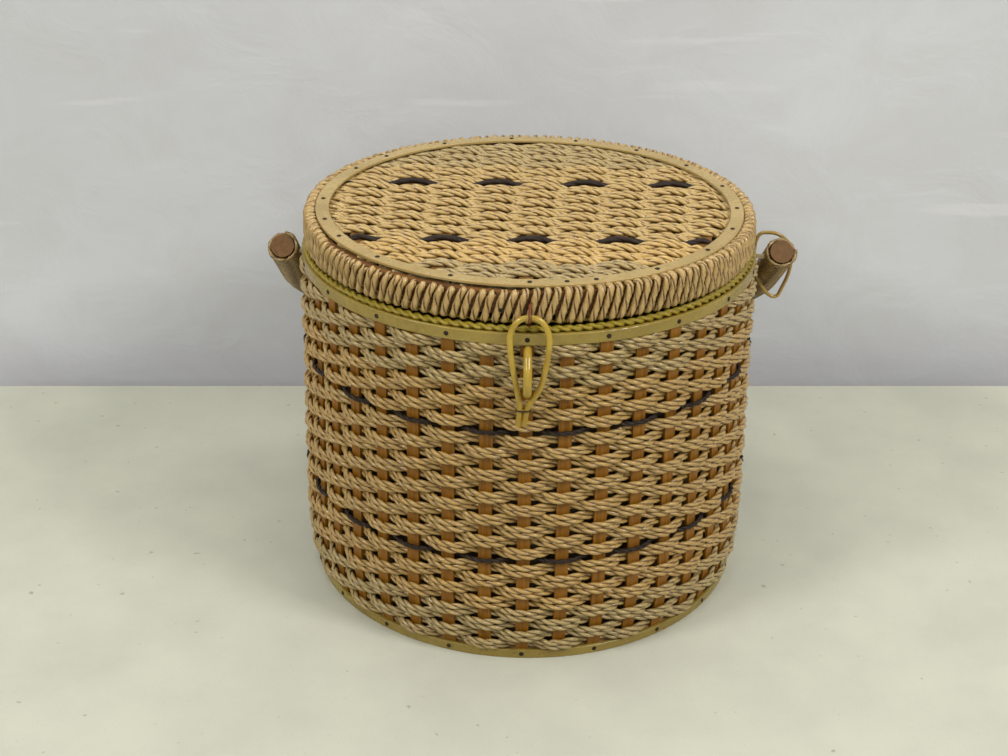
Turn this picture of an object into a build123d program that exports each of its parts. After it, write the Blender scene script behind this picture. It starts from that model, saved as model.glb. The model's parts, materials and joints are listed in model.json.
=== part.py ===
from build123d import *
import math
import os

# Round woven sewing basket with a hinged lid, a tube-and-arch closure and a folding bow handle.
# Millimetres. Origin: centre of the base on the floor. +Z up, the closure faces -Y, +X is the
# viewer's right. Angles THETA are measured round Z from the front (-Y) towards +X.

# ---------------------------------------------------------------- driving dimensions
# body wall, outer radius of the weave at height z
Z_WEAVE_0 = 5.0            # bottom of the weave, top of the bottom band
Z_ACC_LO = (57.7, 61.0)    # lower dark accent cord
Z_ACC_UP = (128.0, 131.1)  # upper dark accent cord
Z_WEAVE_1 = 175.1          # top of the weave, bottom of the top band
R_W0, R_W1, R_W2 = 118.6, 121.3, 121.1      # z 5, 27, 57.7
R_W3, R_W4, R_W5 = 121.0, 120.3, 119.6      # z 61, 94, 128
R_W6, R_W7, R_W8 = 119.5, 119.4, 119.2      # z 131.1, 153, 175.1
CORD_T = 3.3               # room for one cord outside or inside the stakes
STAKE_T = 1.4
STAKE_W = 6.4
N_STAKES = 39
THETA_0 = -0.8             # the stake nearest the front
WEAVE_T = 2 * CORD_T + STAKE_T

BASE_T = 5.0
BAND_BOT_R = 116.7
BAND_TOP_R = 117.6
BAND_TOP_Z = (175.1, 181.0)
STAKE_TOP_Z = 180.9
HOOP_T = 3.4
LINING_R = (108.9, 110.4)
BASE_LINING_T = 3.0

NAIL_HEAD_R = 1.15
NAIL_HEAD_T = 0.45
NAIL_SHANK_R = 0.45

# lid
LID_HOOP_R = (109.5, 112.8)
LID_HOOP_Z = (188.6, 199.2)
RIM_R = 115.8
RIM_Z = (185.9, 201.8)
LID_BAND_R = (102.8, 109.7)
LID_BAND_Z = (200.6, 201.9)
LID_WEAVE_Z = (194.6, 202.6)
LID_WARP_Z = (197.9, 199.3)
LID_WARP_X = [-85.0, -63.5, -42.0, -20.5, 1.0, 22.5, 44.0, 65.0, 85.0]
LID_WARP_DX, LID_WARP_GROW = 6.0, 1.07   # shift and spread of the stakes from the front cord to the back one
LID_ACC_Y = (-49.0, 34.0)
LID_ACC_W = 3.2
LID_BOARD_Z = (192.6, 194.6)
LID_PAD_Z = (187.0, 192.6)

# braided trims
BRAID_BODY_R, BRAID_BODY_Z = (112.7, 116.7), (181.0, 184.0)
BRAID_LID_R, BRAID_LID_Z = (112.0, 114.8), (184.5, 185.9)

# hinge at the back
HINGE_Y, HINGE_Z = 119.5, 183.4
HINGE_W = 36.0
KNUCKLE_R = 2.0
PIN_R = 0.9
PIN_CLEAR = 0.06

# closure
LOOP_D = 2.8
LOOP_Y0, LOOP_Z0, LOOP_LEAN = -119.7, 187.3, 0.09
LOOP_PTS = [(-5.5, 137.4), (-4.45, 146.6), (-9.1, 171.0), (-9.9, 182.5), (-5.4, 189.9), (3.9, 189.9),
            (8.6, 182.0), (8.0, 171.5), (5.0, 156.0), (-1.45, 146.6), (-2.5, 137.4)]
CATCH_D = 4.0
CATCH_X = -1.4
CATCH_PTS = [(-113.2, 172.9), (-121.0, 172.9), (-128.0, 163.5), (-126.6, 153.6), (-113.2, 153.6)]

# handle
CANE_R = 6.0
GRIP_R = 8.2
BOW_XC = 1.9               # the bow stands 1.9 mm off centre
BOW_W = 130.6              # half width, centre line to centre line
BOW_L = 152.0              # pivot to the middle of the bow
BOW_END = -10.0            # the cut ends stand this far past the pivot
BOW_R1, BOW_A1 = 95.0, 50.0
PIVOT_Y, PIVOT_Z = 8.0, 170.0
FOLD_DEG = 36.0            # folded bow below the horizontal
HPIN_R = 1.2
RING_D = 2.0

os.makedirs("parts", exist_ok=True)


def save(name, *solids):
    shapes = [s for s in solids]
    comp = shapes[0] if len(shapes) == 1 else Compound(children=shapes)
    comp.label = name
    export_step(comp, f"parts/{name}.step")


def solids_of(shape):
    return list(shape.solids())


def ring(r0, r1, z0, z1):
    """Plain ring of rectangular section."""
    out = Pos(0, 0, (z0 + z1) / 2) * Cylinder(r1, z1 - z0)
    if r0 > 0:
        out -= Pos(0, 0, (z0 + z1) / 2) * Cylinder(r0, z1 - z0 + 2)
    return out


def at_theta(theta, r, z):
    """Location at angle theta from the front, local +X pointing outwards."""
    a = math.radians(theta)
    return Location(Plane(origin=(r * math.sin(a), -r * math.cos(a), z),
                          x_dir=(math.sin(a), -math.cos(a), 0), z_dir=(0, 0, 1)))


def wall_profile(z0, zm, z1, r0, rm, r1, off_out, off_in):
    """Section of a curved wall in the XZ plane, offset inwards from the outer weave radius."""
    o = ThreePointArc((r0 - off_out, z0), (rm - off_out, zm), (r1 - off_out, z1))
    i = ThreePointArc((r1 - off_in, z1), (rm - off_in, zm), (r0 - off_in, z0))
    t = Line((r1 - off_out, z1), (r1 - off_in, z1))
    b = Line((r0 - off_in, z0), (r0 - off_out, z0))
    return Plane.XZ * make_face([o, t, i, b])


def revolved(face):
    return revolve(face, Axis.Z, 360)


# ---------------------------------------------------------------- body: stakes and weave
SEGMENTS = {
    "body_weave_lower": (Z_WEAVE_0, 27.0, Z_ACC_LO[0], R_W0, R_W1, R_W2),
    "accent_cord_lower": (Z_ACC_LO[0], sum(Z_ACC_LO) / 2, Z_ACC_LO[1], R_W2, (R_W2 + R_W3) / 2 + 0.01, R_W3),
    "body_weave_middle": (Z_ACC_LO[1], 94.0, Z_ACC_UP[0], R_W3, R_W4, R_W5),
    "accent_cord_upper": (Z_ACC_UP[0], sum(Z_ACC_UP) / 2, Z_ACC_UP[1], R_W5, (R_W5 + R_W6) / 2 + 0.01, R_W6),
    "body_weave_upper": (Z_ACC_UP[1], 153.0, Z_WEAVE_1, R_W6, R_W7, R_W8),
}

stake_shell = None
for seg in SEGMENTS.values():
    piece = revolved(wall_profile(*seg, CORD_T, CORD_T + STAKE_T))
    stake_shell = piece if stake_shell is None else stake_shell + piece
# straight feet between base board and bottom band, and straight tops behind the top band
foot_r = R_W0 - CORD_T
top_r = R_W8 - CORD_T
stake_shell += ring(foot_r - STAKE_T, foot_r, 0.4, Z_WEAVE_0)
stake_shell += ring(top_r - STAKE_T, top_r, Z_WEAVE_1, STAKE_TOP_Z)

stake_0 = solids_of(stake_shell & (at_theta(THETA_0, 116.0, 95.0) * Box(20, STAKE_W, 230)))[0]
stakes = [Rot(0, 0, k * 360.0 / N_STAKES) * stake_0 for k in range(N_STAKES)]

# nails sit on every second stake
NAIL_K = list(range(-18, 19, 2))
NAIL_THETA = [THETA_0 + k * 360.0 / N_STAKES for k in NAIL_K]

# holes for the two handle pins, through wall and stake
PIN_THETA_X = {}
pin_holes = []
for side in (-1, 1):
    x0, x1 = side * 111.0, side * 122.0
    pin_holes.append(Pos((x0 + x1) / 2, PIVOT_Y, PIVOT_Z) * Rot(0, 90, 0) * Cylinder(HPIN_R, abs(x1 - x0)))
# seats for the two feet of the closure arch
catch_seats = [
    Pos(CATCH_X, (CATCH_PTS[0][0] + CATCH_PTS[1][0]) / 2 - 1, CATCH_PTS[0][1]) * Rot(90, 0, 0) * Cylinder(CATCH_D / 2, 12),
    Pos(CATCH_X, -117.2, CATCH_PTS[4][1]) * Rot(90, 0, 0) * Cylinder(CATCH_D / 2, 8.0),
]


def cut_all(shape, cutters):
    for c in cutters:
        shape = shape - c
    return shape


def nail_solid(shank_len, head_r):
    """Nail along +Z with the underside of its head at z 0: blunt tip, straight shank, low head."""
    shank = Pos(0, 0, (-shank_len + 0.5 + 0.1) / 2) * Cylinder(NAIL_SHANK_R, shank_len - 0.5 + 0.1)
    tip = Pos(0, 0, -shank_len + 0.25) * Cone(0.2, NAIL_SHANK_R, 0.5)
    head = Pos(0, 0, NAIL_HEAD_T / 2) * Cylinder(head_r, NAIL_HEAD_T)
    head = chamfer(head.edges().group_by(Axis.Z)[-1], NAIL_HEAD_T * 0.55, head_r * 0.40)
    return shank + tip + head


def nail(theta, r, z, shank_len, head_r=NAIL_HEAD_R):
    """Small low-headed nail, driven in towards the axis."""
    body = nail_solid(shank_len, head_r)
    a = math.radians(theta)
    out = Vector(math.sin(a), -math.cos(a), 0)
    return Location(Plane(origin=(r * out.X, r * out.Y, z), x_dir=(0, 0, 1), z_dir=(out.X, out.Y, 0))) * body


for name, seg in SEGMENTS.items():
    shell = revolved(wall_profile(*seg, 0.0, WEAVE_T))
    shell = shell.cut(*stakes)
    if name == "body_weave_upper":
        shell = cut_all(shell, pin_holes + catch_seats)
    save(name, *solids_of(shell))

stakes_out = []
for s in stakes:
    bb = s.bounding_box()
    t = s
    if bb.min.Y < PIVOT_Y + 2 and bb.max.Y > PIVOT_Y - 2:
        t = cut_all(t, pin_holes)
    if bb.min.Y < -110 and abs((bb.min.X + bb.max.X) / 2) < 8:
        t = cut_all(t, catch_seats)
    stakes_out += solids_of(t)
save("body_stakes", *stakes_out)

# ---------------------------------------------------------------- body: base, hoop, bands, lining
board_r = foot_r - STAKE_T
base_board = Pos(0, 0, BASE_T / 2) * Cylinder(board_r, BASE_T)
base_board = fillet(base_board.edges().group_by(Axis.Z)[0], 0.6)
save("base_board", base_board)

bottom_band = ring(foot_r, BAND_BOT_R, 0, Z_WEAVE_0)
bottom_band = fillet(bottom_band.edges().filter_by(GeomType.CIRCLE).group_by(SortBy.RADIUS)[-1], 0.45)
save("body_bottom_band", bottom_band)

top_band = ring(top_r, BAND_TOP_R, BAND_TOP_Z[0], BAND_TOP_Z[1])
top_band = fillet(top_band.edges().filter_by(GeomType.CIRCLE).group_by(SortBy.RADIUS)[-1], 0.5)
save("body_top_band", top_band)

hoop_out = top_r - STAKE_T
body_top_hoop = ring(hoop_out - HOOP_T, hoop_out, BAND_TOP_Z[0], BAND_TOP_Z[1])
save("body_top_hoop", body_top_hoop)

save("body_top_nails", *[nail(t, BAND_TOP_R - 0.05, 178.1, 4.6) for t in NAIL_THETA])
save("body_bottom_nails", *[nail(t, BAND_BOT_R - 0.05, 2.6, 5.0) for t in NAIL_THETA])

side_lining = ring(LINING_R[0], LINING_R[1], BASE_T, BAND_TOP_Z[1])
save("side_lining", side_lining)

base_lining = Pos(0, 0, BASE_T + BASE_LINING_T / 2) * Cylinder(LINING_R[0] - 0.2, BASE_LINING_T)
base_lining = fillet(base_lining.edges().group_by(Axis.Z)[-1], 1.4)
save("base_lining", base_lining)


def braid(r, z, round_r):
    """Ring whose section is a rectangle with its four corners cut off."""
    c = 0.6 * round_r
    pts = [(r[0] + c, z[0]), (r[1] - c, z[0]), (r[1], z[0] + c), (r[1], z[1] - c),
           (r[1] - c, z[1]), (r[0] + c, z[1]), (r[0], z[1] - c), (r[0], z[0] + c)]
    return revolved(Plane.XZ * make_face(Polyline(*pts, close=True).edges()))


save("body_braid", braid(BRAID_BODY_R, BRAID_BODY_Z, 1.2))

# ---------------------------------------------------------------- closure arch on the front


def corner_radii(pts, share=0.45):
    """As large a radius at each corner as its two runs allow."""
    out = []
    for a, b, c in zip(pts, pts[1:], pts[2:]):
        u = (b[0] - a[0], b[1] - a[1])
        v = (c[0] - b[0], c[1] - b[1])
        lu, lv = math.hypot(*u), math.hypot(*v)
        turn = math.acos(max(-1, min(1, (u[0] * v[0] + u[1] * v[1]) / (lu * lv))))
        out.append(share * min(lu, lv) / math.tan(turn / 2))
    return out


def tube_along(path, r):
    start = path @ 0
    section = Plane(origin=start, z_dir=path % 0) * Circle(r)
    return sweep(section, path=path)


catch_plane = Plane(origin=(CATCH_X, 0, 0), x_dir=(0, 1, 0), z_dir=(1, 0, 0))
catch_path = catch_plane * FilletPolyline(*CATCH_PTS, radius=corner_radii(CATCH_PTS))
closure_catch = tube_along(catch_path, CATCH_D / 2)
save("closure_catch", closure_catch)

# ---------------------------------------------------------------- lid
lid_hoop = ring(LID_HOOP_R[0], LID_HOOP_R[1], LID_HOOP_Z[0], LID_HOOP_Z[1])

zb, zt = RIM_Z
rim_outer = Plane.XZ * make_face(Polyline(
    (LID_HOOP_R[0], zb), (RIM_R - 2.2, zb), (RIM_R, zb + 2.2), (RIM_R, zt - 3.2), (RIM_R - 3.2, zt),
    (LID_BAND_R[1] + 0.1, zt), (LID_BAND_R[1] + 0.1, LID_HOOP_Z[1]), (LID_HOOP_R[1], LID_HOOP_Z[1]),
    (LID_HOOP_R[1], LID_HOOP_Z[0]), (LID_HOOP_R[0], LID_HOOP_Z[0]), (LID_HOOP_R[0], zb)).edges())
lid_rim_wrap = revolved(rim_outer)
rim_edges = [e for e in lid_rim_wrap.edges().filter_by(GeomType.CIRCLE)
             if e.radius > RIM_R - 3.3 and not (LID_HOOP_Z[0] - 0.1 < e.arc_center.Z < LID_HOOP_Z[1] + 0.1
                                                 and e.radius < LID_HOOP_R[1] + 0.1)]
lid_rim_wrap = fillet([e for e in rim_edges if e.radius > LID_HOOP_R[1] + 0.1 or abs(e.arc_center.Z - zt) < 0.01], 1.2)

lid_band = ring(LID_BAND_R[0], LID_BAND_R[1], LID_BAND_Z[0], LID_BAND_Z[1])
lid_band = fillet(lid_band.edges().filter_by(GeomType.CIRCLE).group_by(Axis.Z)[-1], 0.4)
save("lid_band", lid_band)

LID_NAIL_THETA = [-90.5, -74.2, -60.8, -42.7, -20.4, -0.5, 8.7, 16.1, 33.3, 52.6, 70.2, 86.6, 104.9, 125.0,
                  144.7, 164.9, -175.0, -153.4, -132.0, -117.9]
lid_nails = []
for t in LID_NAIL_THETA:
    a = math.radians(t)
    r = 106.3
    lid_nails.append(Pos(r * math.sin(a), -r * math.cos(a), LID_BAND_Z[1]) * nail_solid(5.0, NAIL_HEAD_R))
save("lid_band_nails", *lid_nails)

z0, z1 = LID_WEAVE_Z
weave_disc = ring(0, LID_BAND_R[0] - 0.2, z0, z1)
weave_disc = fillet(weave_disc.edges().group_by(Axis.Z)[-1], 1.6)
weave_disc += ring(0, LID_HOOP_R[0] - 0.1, z0, LID_BAND_Z[0])

warps = []
for x in LID_WARP_X:
    # the stakes fan out a little to the right towards the back
    lean = (LID_WARP_DX + (LID_WARP_GROW - 1) * x) / (LID_ACC_Y[1] - LID_ACC_Y[0])
    mid_y = sum(LID_ACC_Y) / 2
    bar = Pos(x + lean * (mid_y - LID_ACC_Y[0]), mid_y, sum(LID_WARP_Z) / 2) * Rot(0, 0, -math.degrees(math.atan(lean))) \
        * Box(STAKE_W, 240, LID_WARP_Z[1] - LID_WARP_Z[0])
    warps += solids_of(bar & ring(0, LID_HOOP_R[0] - 1.5, LID_WARP_Z[0] - 1, LID_WARP_Z[1] + 1))
save("lid_stakes", *warps)
weave_disc = cut_all(weave_disc, warps)
slabs = [Pos(0, y, (z0 + z1) / 2) * Box(260, LID_ACC_W, 20) for y in LID_ACC_Y]
accents = []
for s in slabs:
    accents += solids_of(weave_disc & s)
save("lid_accent_cords", *accents)
lid_weave = cut_all(weave_disc, slabs)
save("lid_weave", *solids_of(lid_weave))

lid_board = ring(0, LID_HOOP_R[0] - 0.1, LID_BOARD_Z[0], LID_BOARD_Z[1])
save("lid_board", lid_board)
lid_pad = ring(0, LID_HOOP_R[0] - 0.4, LID_PAD_Z[0], LID_PAD_Z[1])
lid_pad = fillet(lid_pad.edges().group_by(Axis.Z)[0], 3.0)
save("lid_lining", lid_pad)
save("lid_braid", braid(BRAID_LID_R, BRAID_LID_Z, 0.5))

save("rim_nail", nail(-7.0, RIM_R - 0.05, 191.8, 5.0))

# ---------------------------------------------------------------- hinge
# brass butt hinge with curved leaves, three body knuckles and two lid knuckles
KN = 5
kw = HINGE_W / KN
gap = 0.15


def knuckle(i):
    x0 = -HINGE_W / 2 + i * kw + gap
    return Pos(x0 + (kw - 2 * gap) / 2, HINGE_Y, HINGE_Z) * Rot(0, 90, 0) * Cylinder(KNUCKLE_R, kw - 2 * gap)


def leaf(r0, r1, za, zc, xa, xb):
    shell = ring(r0, r1, za, zc)
    return shell & (Pos((xa + xb) / 2, 118, (za + zc) / 2) * Box(xb - xa, 30, 40))


bore = Pos(0, HINGE_Y, HINGE_Z) * Rot(0, 90, 0) * Cylinder(PIN_R + PIN_CLEAR, HINGE_W + 10)
room = Pos(0, HINGE_Y, HINGE_Z) * Rot(0, 90, 0) * Cylinder(KNUCKLE_R + 0.25, HINGE_W + 10)

body_leaf = leaf(BAND_TOP_R, BAND_TOP_R + 0.9, 175.3, 181.6, -HINGE_W / 2, HINGE_W / 2)
for i in (0, 2, 4):
    x0 = -HINGE_W / 2 + i * kw + gap
    x1 = x0 + kw - 2 * gap
    body_leaf += knuckle(i)
    web = ring(BAND_TOP_R + 0.05, BAND_TOP_R + 0.9, 181.2, HINGE_Z) & (Pos((x0 + x1) / 2, 118, 182) * Box(x1 - x0, 30, 40))
    tab = Pos((x0 + x1) / 2, HINGE_Y - 0.9, 182.1) * Box(x1 - x0, 2.0, 1.6)
    body_leaf += web
    body_leaf += tab & ring(BAND_TOP_R + 0.05, 130, 170, 190)
lid_cuts = []
for i in (1, 3):
    x0 = -HINGE_W / 2 + i * kw - 0.05
    x1 = x0 + kw + 0.1
    lid_cuts.append(room & (Pos((x0 + x1) / 2, HINGE_Y, HINGE_Z) * Box(x1 - x0, 30, 30)))
body_leaf = cut_all(body_leaf, lid_cuts + [bore])

lid_leaf = leaf(RIM_R, RIM_R + 0.9, 187.3, 197.5, -HINGE_W / 2 + kw, HINGE_W / 2 - kw)
for i in (1, 3):
    x0 = -HINGE_W / 2 + i * kw + gap
    x1 = x0 + kw - 2 * gap
    lid_leaf += knuckle(i)
    # curved strap from the knuckle up to the leaf
    strap = Plane.YZ * make_face(Polyline(
        (HINGE_Y - 1.6, HINGE_Z + 0.6), (HINGE_Y + 0.4, HINGE_Z + 1.95), (117.6, 187.4), (116.6, 188.4),
        (RIM_R - 1.2, 188.4), (RIM_R - 1.2, 187.3), (116.6, 186.6), (HINGE_Y - 1.6, HINGE_Z + 0.6)).edges())
    strap = extrude(strap, (x1 - x0) / 2, both=True)
    strap = Pos((x0 + x1) / 2, 0, 0) * strap
    strap = strap - ring(0, RIM_R + 0.02, 180, 192)
    lid_leaf += strap
body_cuts = []
for i in (0, 2, 4):
    x0 = -HINGE_W / 2 + i * kw - 0.05
    x1 = x0 + kw + 0.1
    body_cuts.append(room & (Pos((x0 + x1) / 2, HINGE_Y, HINGE_Z) * Box(x1 - x0, 30, 30)))
lid_leaf = cut_all(lid_leaf, body_cuts + [bore])

save("hinge_body_leaf", *solids_of(body_leaf))
save("hinge_lid_leaf", *solids_of(lid_leaf))
hinge_pin = Pos(0, HINGE_Y, HINGE_Z) * Rot(0, 90, 0) * Cylinder(PIN_R, HINGE_W)
hinge_pin += Pos(-HINGE_W / 2 - 0.3, HINGE_Y, HINGE_Z) * Rot(0, 90, 0) * Cylinder(PIN_R + 0.5, 0.6)
hinge_pin += Pos(HINGE_W / 2 + 0.3, HINGE_Y, HINGE_Z) * Rot(0, 90, 0) * Cylinder(PIN_R + 0.5, 0.6)
save("hinge_pin", hinge_pin)

body_tacks = [nail(180 + t, BAND_TOP_R + 0.85, 177.6, 5.4, 1.3) for t in (-6.2, 6.2)]
lid_tacks = [nail(180 + t, RIM_R + 0.85, 194.0, 6.2, 1.3) for t in (-3.4, 3.4)]
save("hinge_body_tacks", *body_tacks)
save("hinge_lid_tacks", *lid_tacks)

save("lid_hoop", lid_hoop)
save("lid_rim_wrap", lid_rim_wrap)

# ---------------------------------------------------------------- closure loop
k = math.sqrt(1 + LOOP_LEAN ** 2)
loop_plane = Plane(origin=(0, LOOP_Y0, LOOP_Z0), x_dir=(1, 0, 0), z_dir=(0, -1 / k, LOOP_LEAN / k))
loop_2d = [(x, (z - LOOP_Z0) * k) for x, z in LOOP_PTS]
loop_path = loop_plane * FilletPolyline(*loop_2d, radius=corner_radii(loop_2d))
closure_loop = tube_along(loop_path, LOOP_D / 2)
save("closure_loop", closure_loop)

# thin wire round both legs
tie_z = 145.4
tie_y = LOOP_Y0 + LOOP_LEAN * (tie_z - LOOP_Z0)
tie_xc = (-4.45 - 1.45) / 2
tie_path = Plane(origin=(tie_xc, tie_y, tie_z), x_dir=(1, 0, 0), z_dir=(0, 0, 1)) * SlotOverall(2 * 3.15, 2 * 1.62).face().outer_wire()
tie_ring = sweep(Plane(origin=tie_path @ 0, z_dir=tie_path % 0) * Circle(0.36), path=tie_path)
save("closure_tie", tie_ring)

# thread that hangs the loop from the rim, two turns side by side
top_z = max(z for _, z in LOOP_PTS)
threads = []
LOOP_TOP = (LOOP_Y0 + LOOP_LEAN * (189.6 - LOOP_Z0), 189.45)
for dx, rise in ((-1.15, 0.0), (-0.25, 0.5)):
    p = Plane(origin=(dx, LOOP_TOP[0], LOOP_TOP[1]), x_dir=(0, 1, 0), z_dir=(1, 0, 0))
    path = p * FilletPolyline((-2.3, -2.2), (3.6, -1.6), (6.0, 5.6 + rise), (2.9, 5.9 + rise), (-2.3, 2.2), (-2.3, -2.2 + 2.0), radius=0.9)
    sec = Plane(origin=path @ 0, z_dir=path % 0) * Circle(0.3)
    threads.append(sweep(sec, path=path))
save("closure_thread", *[s for t in threads for s in solids_of(t)])

# ---------------------------------------------------------------- handle
c, s_ = math.cos(math.radians(FOLD_DEG)), math.sin(math.radians(FOLD_DEG))
bow_plane = Plane(origin=(BOW_XC, PIVOT_Y, PIVOT_Z), x_dir=(1, 0, 0), z_dir=(0, s_, c))
a1 = math.radians(BOW_A1)
R2 = (BOW_W - BOW_R1) / math.cos(a1) + BOW_R1
v_arm = BOW_L - ((BOW_R1 - R2) * math.sin(a1) + R2)
L1 = Line((-BOW_W, BOW_END), (-BOW_W, v_arm))
A1 = JernArc(start=L1 @ 1, tangent=L1 % 1, radius=BOW_R1, arc_size=-BOW_A1)
A2 = JernArc(start=A1 @ 1, tangent=A1 % 1, radius=R2, arc_size=-2 * (90 - BOW_A1))
A3 = JernArc(start=A2 @ 1, tangent=A2 % 1, radius=BOW_R1, arc_size=-BOW_A1)
L2 = Line(A3 @ 1, (BOW_W, BOW_END))
bow_wire = bow_plane * Wire([L1, A1, A2, A3, L2])
print("bow: R2 %.1f, straight arms %.1f, apex %s" % (R2, v_arm, bow_wire @ 0.5))
core = tube_along(bow_wire, CANE_R)

W1 = Line((-BOW_W, BOW_END - 0.6), (-BOW_W, v_arm))
W2 = Line(A3 @ 1, (BOW_W, BOW_END - 0.6))
wrap_wire = bow_plane * Wire([W1, A1, A2, A3, W2])
sec_o = Plane(origin=wrap_wire @ 0, z_dir=wrap_wire % 0) * Circle(GRIP_R)
sec_i = Plane(origin=wrap_wire @ 0, z_dir=wrap_wire % 0) * Circle(CANE_R)
wrap = sweep(sec_o, path=wrap_wire) - sweep(sec_i, path=wrap_wire)

# blind holes for the pins, from the inner side of each arm
arm_x = {-1: BOW_XC - BOW_W, 1: BOW_XC + BOW_W}
for side in (-1, 1):
    xin = arm_x[side] - side * (GRIP_R + 1)
    xend = arm_x[side] + side * 2.0
    hole = Pos((xin + xend) / 2, PIVOT_Y, PIVOT_Z) * Rot(0, 90, 0) * Cylinder(HPIN_R + 0.06, abs(xend - xin))
    core -= hole
    wrap -= hole
save("handle_core", *solids_of(core))
save("handle_wrap", *solids_of(wrap))

for side, name in ((-1, "handle_pin_left"), (1, "handle_pin_right")):
    xin = side * 111.2
    xend = arm_x[side] + side * 1.5
    pin = Pos((xin + xend) / 2, PIVOT_Y, PIVOT_Z) * Rot(0, 90, 0) * Cylinder(HPIN_R, abs(xend - xin))
    save(name, pin)

# ring of thin tube that hangs on the right arm
RING_Y = 22.0
RING_PTS = [(124.0, 178.0), (133.6, 178.0), (142.0, 170.8), (142.4, 156.0), (136.2, 139.6), (130.2, 142.8),
            (121.9, 155.8), (122.0, 172.4)]
ring_plane = Plane(origin=(0, RING_Y, 0), x_dir=(1, 0, 0), z_dir=(0, -1, 0))
closed = RING_PTS + [RING_PTS[0], RING_PTS[1]]
rad = corner_radii(closed)
# radii are listed for corners 1..n-1 and then corner 0
ring_path = ring_plane * FilletPolyline(*RING_PTS, radius=[rad[-1]] + rad[:-1], close=True)
handle_ring = sweep(Plane(origin=ring_path @ 0, z_dir=ring_path % 0) * Circle(RING_D / 2), path=ring_path)
save("handle_ring", *solids_of(handle_ring))
print("ring corner radii", [round(r, 1) for r in rad])
print("loop corner radii", [round(r, 1) for r in corner_radii(loop_2d)])
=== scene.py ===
import json
import math

import bpy
import numpy as np
from mathutils import Matrix, Vector

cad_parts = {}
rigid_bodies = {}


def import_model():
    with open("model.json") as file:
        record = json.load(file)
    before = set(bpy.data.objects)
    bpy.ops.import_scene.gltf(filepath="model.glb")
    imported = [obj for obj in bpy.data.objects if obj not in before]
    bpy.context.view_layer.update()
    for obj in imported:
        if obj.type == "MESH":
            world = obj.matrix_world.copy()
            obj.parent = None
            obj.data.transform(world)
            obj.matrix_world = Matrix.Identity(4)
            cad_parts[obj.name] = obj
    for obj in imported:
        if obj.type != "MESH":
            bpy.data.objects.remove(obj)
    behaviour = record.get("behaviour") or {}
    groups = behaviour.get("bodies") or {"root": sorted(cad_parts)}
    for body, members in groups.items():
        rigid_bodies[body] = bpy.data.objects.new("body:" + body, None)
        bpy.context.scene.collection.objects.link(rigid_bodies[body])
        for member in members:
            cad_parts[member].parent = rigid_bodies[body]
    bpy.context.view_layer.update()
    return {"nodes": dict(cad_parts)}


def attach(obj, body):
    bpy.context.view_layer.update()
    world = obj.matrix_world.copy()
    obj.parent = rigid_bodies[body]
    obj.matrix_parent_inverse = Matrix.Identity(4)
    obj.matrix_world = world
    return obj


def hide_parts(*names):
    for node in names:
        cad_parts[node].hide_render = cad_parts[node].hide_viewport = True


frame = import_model()
RNG = np.random.default_rng(11)
MM = 0.001
TAU = 2 * math.pi

# ------------------------------------------------------------------ camera
CAM = (-12.04 * MM, -738.5 * MM, 469.2 * MM)
cam_data = bpy.data.cameras.new("camera")
cam_data.sensor_width = 36.0
cam_data.sensor_fit = "HORIZONTAL"
cam_data.lens = 54.07
cam_data.clip_start = 0.01
cam = bpy.data.objects.new("camera", cam_data)
bpy.context.scene.collection.objects.link(cam)
cam.matrix_world = (Matrix.Translation(CAM) @ Matrix.Rotation(math.radians(90 - 26.56), 4, "X")
                    @ Matrix.Rotation(math.radians(0.68), 4, "Z"))
bpy.context.scene.camera = cam


# ------------------------------------------------------------------ smooth noise on a line
class Wander:
    """Smooth random curve of the running length, period in mm, about -1 to 1."""

    def __init__(self, period):
        self.p = period
        self.k = RNG.normal(size=4096)

    def __call__(self, s):
        t = np.asarray(s) / self.p
        i = np.floor(t).astype(int)
        f = t - i
        f = f * f * (3 - 2 * f)
        a = self.k[i % 4096]
        b = self.k[(i + 1) % 4096]
        return 0.7 * (a * (1 - f) + b * f)


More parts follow.
